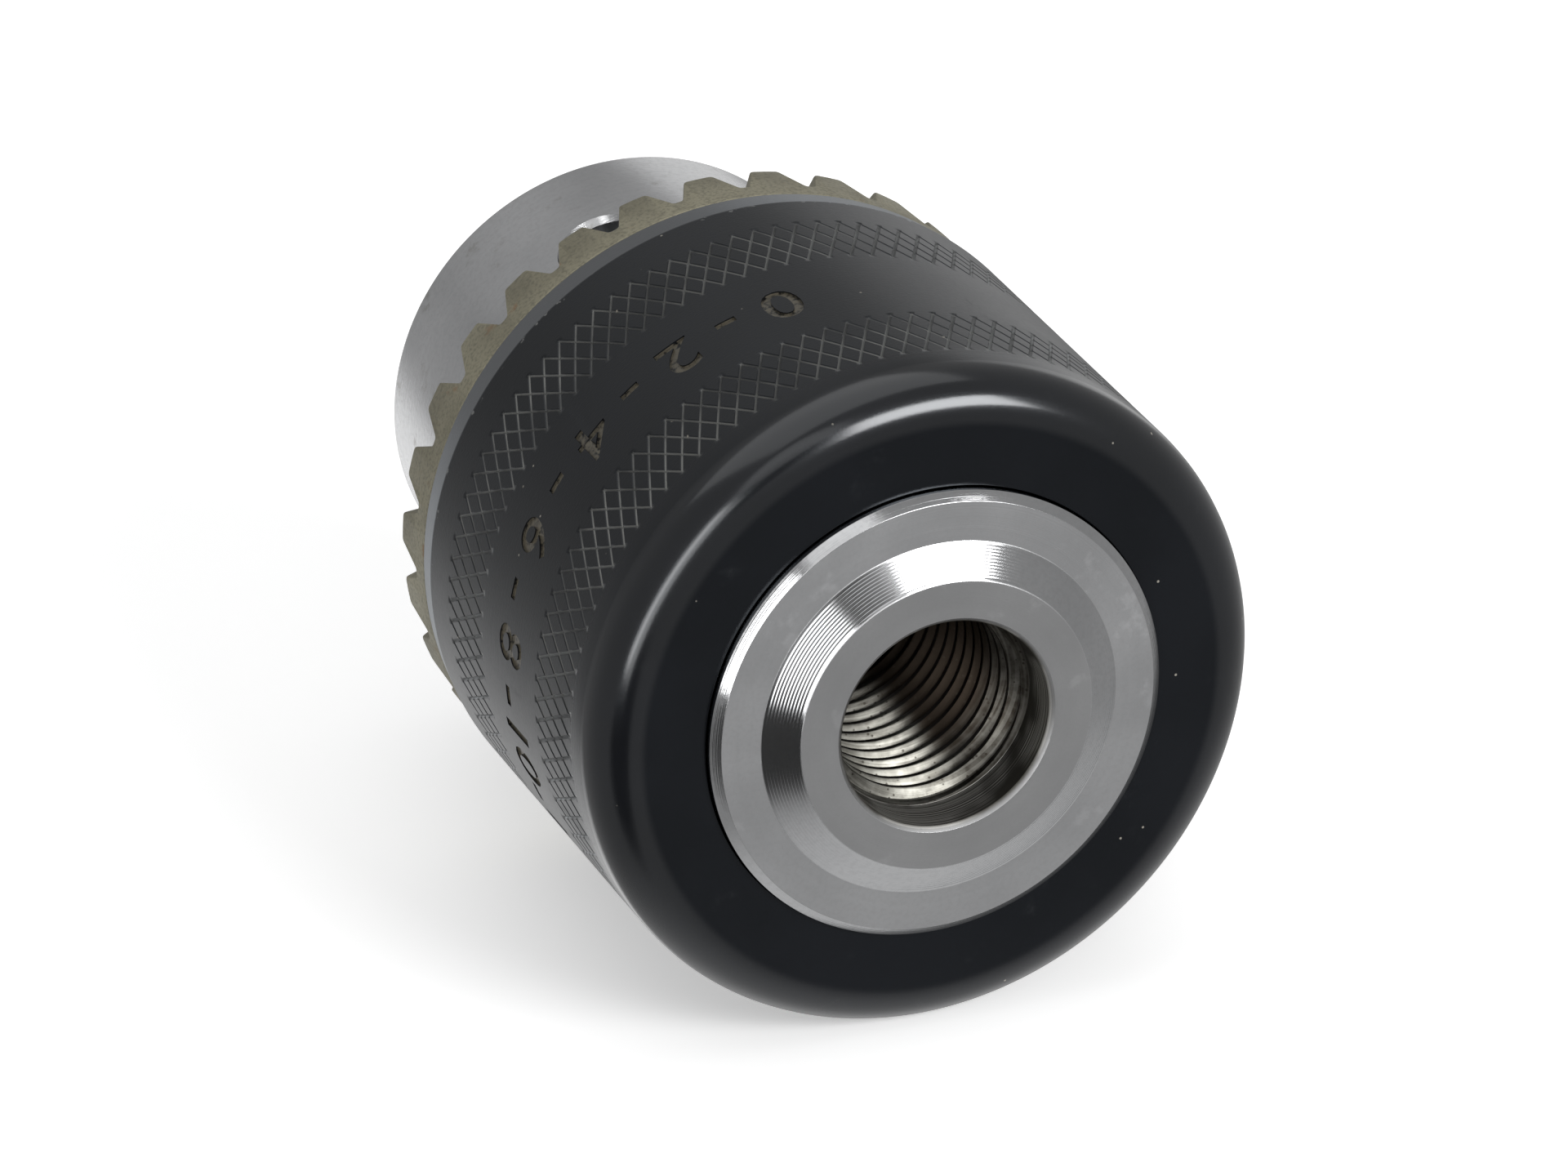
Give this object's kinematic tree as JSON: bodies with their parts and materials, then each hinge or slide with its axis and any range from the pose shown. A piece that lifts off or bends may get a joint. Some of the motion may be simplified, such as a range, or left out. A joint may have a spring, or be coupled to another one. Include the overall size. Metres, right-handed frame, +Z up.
{
  "type": "drill chuck",
  "caption": "Keyed drill chuck: steel body with threaded spindle socket, knurled black sleeve with a toothed ring, and self-centring jaws that close as the sleeve turns.",
  "frame": {"origin": "centre of the rear face that seats on the spindle shoulder, on the chuck axis", "axes": "+Y along the chuck axis towards the nose and the work, +Z up with the chuck lying on its side, +X to the right seen from the spindle end"},
  "size_m": [0.0412, 0.0526, 0.0412],
  "materials": {
    "body_steel": "turned and ground steel",
    "black_oxide": "satin black oxide on turned and knurled steel",
    "hardened_steel": "matt heat-treated steel",
    "nut_steel": "oiled machined steel",
    "jaw_steel": "ground hardened steel",
    "bearing_steel": "polished bearing steel",
    "brass": "pressed brass"
  },
  "bodies": {
    "body": {"chuck_body": "body_steel", "body_race": "bearing_steel"},
    "sleeve": {"outer_sleeve": "black_oxide", "toothed_ring": "hardened_steel", "nut_half_a": "nut_steel", "nut_half_b": "nut_steel", "nut_race": "bearing_steel"},
    "cage": {"ball_cage": "brass", "ball_01": "bearing_steel", "ball_02": "bearing_steel", "ball_03": "bearing_steel", "ball_04": "bearing_steel", "ball_05": "bearing_steel", "ball_06": "bearing_steel", "ball_07": "bearing_steel", "ball_08": "bearing_steel", "ball_09": "bearing_steel", "ball_10": "bearing_steel", "ball_11": "bearing_steel", "ball_12": "bearing_steel", "ball_13": "bearing_steel", "ball_14": "bearing_steel", "ball_15": "bearing_steel", "ball_16": "bearing_steel"},
    "jaw_1": {"jaw_1": "jaw_steel"},
    "jaw_2": {"jaw_2": "jaw_steel"},
    "jaw_3": {"jaw_3": "jaw_steel"}
  },
  "joints": [
    {"name": "sleeve_spin", "type": "hinge", "parent": "body", "child": "sleeve", "pos_m": [0, 0.02, 0], "axis": [0, -1, 0], "range_deg": [0, 3778]},
    {"name": "jaw_1_slide", "type": "slide", "parent": "body", "child": "jaw_1", "axis": [-0.1732, 0.9659, -0.1923], "range_m": [0, 0.02223]},
    {"name": "jaw_2_slide", "type": "slide", "parent": "body", "child": "jaw_2", "axis": [0.2532, 0.9659, -0.0538], "range_m": [0, 0.02223]},
    {"name": "jaw_3_slide", "type": "slide", "parent": "body", "child": "jaw_3", "axis": [-0.08, 0.9659, 0.2462], "range_m": [0, 0.02223]},
    {"name": "cage_spin", "type": "hinge", "parent": "body", "child": "cage", "pos_m": [0, 0.02535, 0], "axis": [0, -1, 0], "range_deg": [0, 1890]}
  ],
  "couplings": [
    {"joint": "jaw_1_slide", "follows": "sleeve_spin", "m_per_rad": 0.00033693},
    {"joint": "jaw_2_slide", "follows": "sleeve_spin", "m_per_rad": 0.00033693},
    {"joint": "jaw_3_slide", "follows": "sleeve_spin", "m_per_rad": 0.00033693},
    {"joint": "cage_spin", "follows": "sleeve_spin", "ratio": 0.5}
  ]
}
